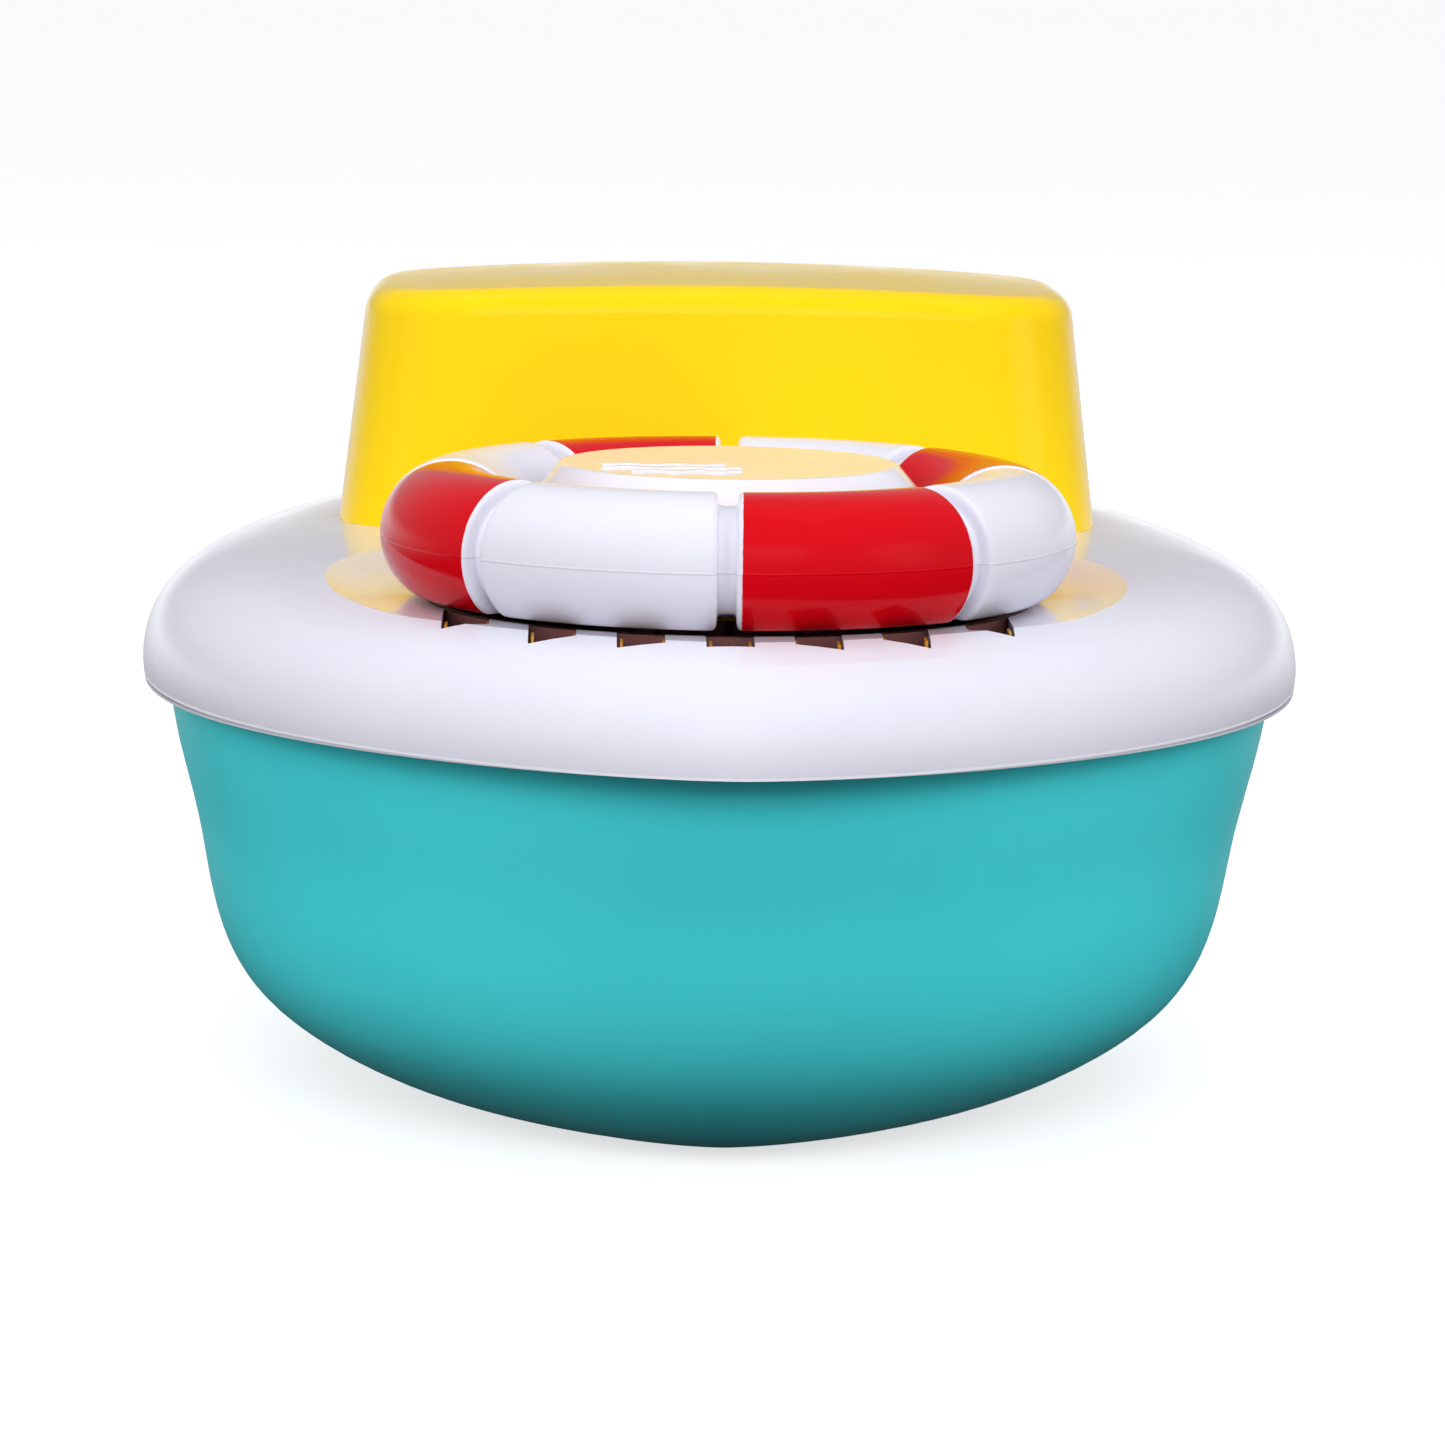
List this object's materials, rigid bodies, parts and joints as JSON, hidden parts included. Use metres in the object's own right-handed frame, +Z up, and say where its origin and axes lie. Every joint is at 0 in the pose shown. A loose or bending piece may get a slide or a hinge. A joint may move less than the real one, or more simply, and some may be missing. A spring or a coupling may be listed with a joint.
{
  "type": "toy boat",
  "caption": "Bath toy boat with a bowl hull, domed deck and cabin, a clicking life-ring dial and a squeaking press button at its centre.",
  "frame": {"origin": "centre of the footprint, on the surface the boat stands on", "axes": "+Z up, bow towards -Y, +X to the boat's right when seen from ahead (its port side)"},
  "size_m": [0.1674, 0.238, 0.1164],
  "materials": {
    "teal_hull": "satin teal moulding",
    "white_shell": "glossy white moulding",
    "yellow_shell": "glossy yellow moulding",
    "ring_plastic": "glossy white moulding, alternate segments painted red",
    "cap_plastic": "glossy white moulding",
    "amber_plastic": "self-coloured acetal, natural gloss",
    "brown_plastic": "self-coloured brown moulding",
    "soft_rubber": "matt moulded elastomer",
    "steel": "zinc-plated",
    "stainless": "bright stainless wire or sheet"
  },
  "bodies": {
    "boat": {"hull": "teal_hull", "hull_seal": "soft_rubber", "hull_screws": "stainless", "tower_seals": "soft_rubber", "ballast_weight": "steel", "ballast_screws": "steel", "deck": "white_shell", "dial_tray": "brown_plastic", "cabin": "yellow_shell", "cabin_screws": "stainless", "glide_washer": "amber_plastic", "hub_post": "yellow_shell", "hub_screws": "stainless", "stem_seal": "soft_rubber", "button_spring": "stainless", "squeaker_cup": "yellow_shell", "cup_screws": "stainless", "squeaker_bellows": "soft_rubber", "squeaker_reed": "amber_plastic"},
    "life_ring": {"life_ring_top": "ring_plastic", "life_ring_bottom": "ring_plastic", "ring_screws": "stainless", "click_spring": "amber_plastic", "click_spring_screw": "stainless"},
    "button": {"button_cap": "cap_plastic", "plunger": "amber_plastic", "stop_washer": "amber_plastic", "plunger_screw": "stainless"}
  },
  "joints": [
    {"name": "life_ring_turn", "type": "hinge", "parent": "boat", "child": "life_ring", "pos_m": [0, -0.057, 0.0862], "axis": [0, 0, 1], "continuous": true},
    {"name": "button_press", "type": "slide", "parent": "boat", "child": "button", "axis": [0, 0, -1], "range_m": [0, 0.003], "stiffness_N_per_m": 900, "springref_m": -0.0004, "deforming": ["button_spring", "squeaker_bellows"]}
  ]
}
